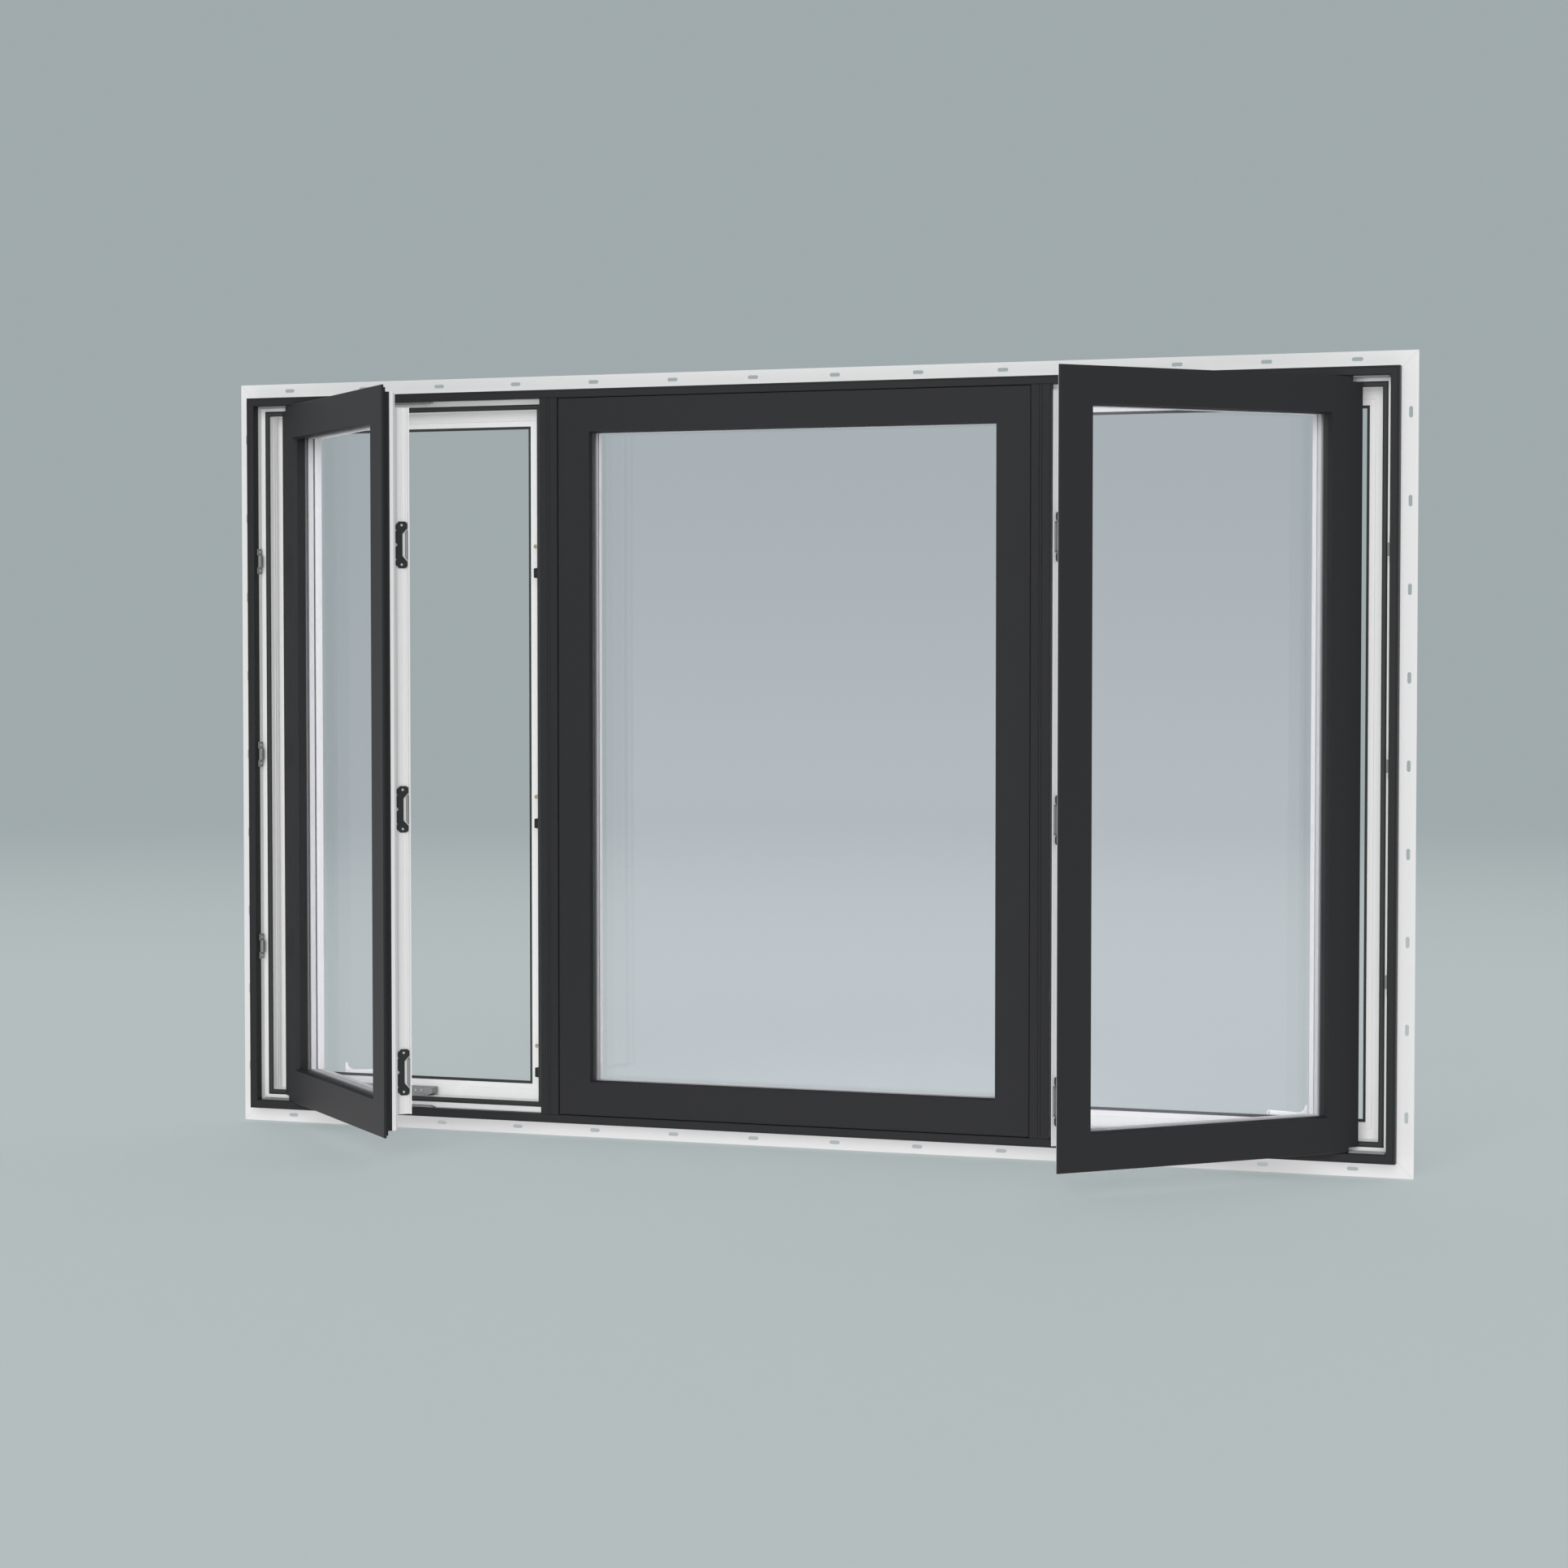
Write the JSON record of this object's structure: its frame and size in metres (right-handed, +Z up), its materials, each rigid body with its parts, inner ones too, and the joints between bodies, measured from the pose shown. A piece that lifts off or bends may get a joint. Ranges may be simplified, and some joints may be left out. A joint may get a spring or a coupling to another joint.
{
  "type": "triple casement window",
  "caption": "Wide vinyl window: a fixed centre light between outward casements that stand open, slotted nailing fins all round, dark outside and white inside.",
  "frame": {"origin": "on the back face of the sill's nailing fin, half way along it, on its line of slots", "axes": "+X along the window, +Y from the outside towards the room, +Z up"},
  "size_m": [2.185, 0.4675, 1.3714],
  "materials": {
    "white_vinyl": "satin white vinyl",
    "dark_capping": "fine matt black capstock",
    "fin": "matt white vinyl",
    "glass": "clear float glass",
    "spacer": "pale warm-edge bar",
    "glazing_seal": "matt grey seal",
    "seal_rubber": "matt bulb seal",
    "dark_trim": "matt",
    "hinge_steel": "plated steel",
    "lock_black": "black coated steel",
    "hardware_grey": "grey coated zinc",
    "crank_white": "white powder coat"
  },
  "bodies": {
    "root": {"crank_handles": "crank_white", "fixed_glass": "glass", "fixed_sash_bottom_rail": "white_vinyl", "fixed_sash_capping": "dark_capping", "fixed_sash_left_stile": "white_vinyl", "fixed_sash_right_stile": "white_vinyl", "fixed_sash_top_rail": "white_vinyl", "glass_spacers": "spacer", "glazing_seals": "glazing_seal", "head": "white_vinyl", "head_capping": "dark_capping", "head_fin": "fin", "hinge_arms": "hinge_steel", "hinge_tracks": "hinge_steel", "keepers": "lock_black", "left_fin": "fin", "left_glass": "glass", "left_jamb": "white_vinyl", "left_jamb_capping": "dark_capping", "left_mullion": "white_vinyl", "left_mullion_capping": "dark_capping", "left_sash_bottom_rail": "white_vinyl", "left_sash_capping": "dark_capping", "left_sash_hinge_stile": "white_vinyl", "left_sash_lock_stile": "white_vinyl", "left_sash_top_rail": "white_vinyl", "lock_tongues": "lock_black", "opening_trims": "dark_trim", "operators": "hardware_grey", "right_fin": "fin", "right_glass": "glass", "right_jamb": "white_vinyl", "right_jamb_capping": "dark_capping", "right_mullion": "white_vinyl", "right_mullion_capping": "dark_capping", "right_sash_bottom_rail": "white_vinyl", "right_sash_capping": "dark_capping", "right_sash_hinge_stile": "white_vinyl", "right_sash_lock_stile": "white_vinyl", "right_sash_top_rail": "white_vinyl", "sill": "white_vinyl", "sill_capping": "dark_capping", "sill_fin": "fin", "snubbers": "hardware_grey", "weatherstrips": "seal_rubber"}
  },
  "joints": []
}
